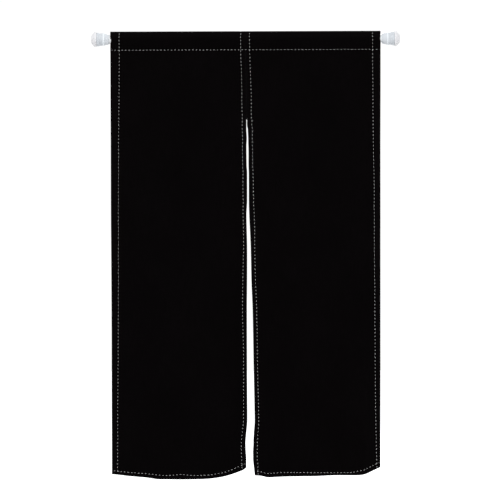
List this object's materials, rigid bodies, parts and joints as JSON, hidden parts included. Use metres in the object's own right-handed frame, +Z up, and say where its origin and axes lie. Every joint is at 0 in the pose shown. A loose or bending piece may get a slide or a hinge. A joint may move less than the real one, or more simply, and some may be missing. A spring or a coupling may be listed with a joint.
{
  "type": "noren curtain on a tension rod",
  "caption": "Plain split doorway curtain: hemmed cloth panels edged with running stitch, hung by a sewn pocket on a telescoping tension rod with padded ends.",
  "frame": {"origin": "middle of the left wall pad's flat outer face, on the rod's axis", "axes": "+X along the rod towards the right pad, +Z up, -Y towards the side that the picture shows"},
  "size_m": [1.027, 0.0508, 1.4939],
  "materials": {
    "cloth": "matt black plain weave",
    "tube_paint": "smooth white gloss paint",
    "socket_plastic": "moulded white plastic",
    "pad": "soft matt white"
  },
  "bodies": {
    "root": {"left_panel": "cloth", "right_panel": "cloth", "rod_outer_tube": "tube_paint", "rod_inner_tube": "tube_paint", "left_socket": "socket_plastic", "right_socket": "socket_plastic", "left_pad": "pad", "right_pad": "pad"}
  },
  "joints": []
}
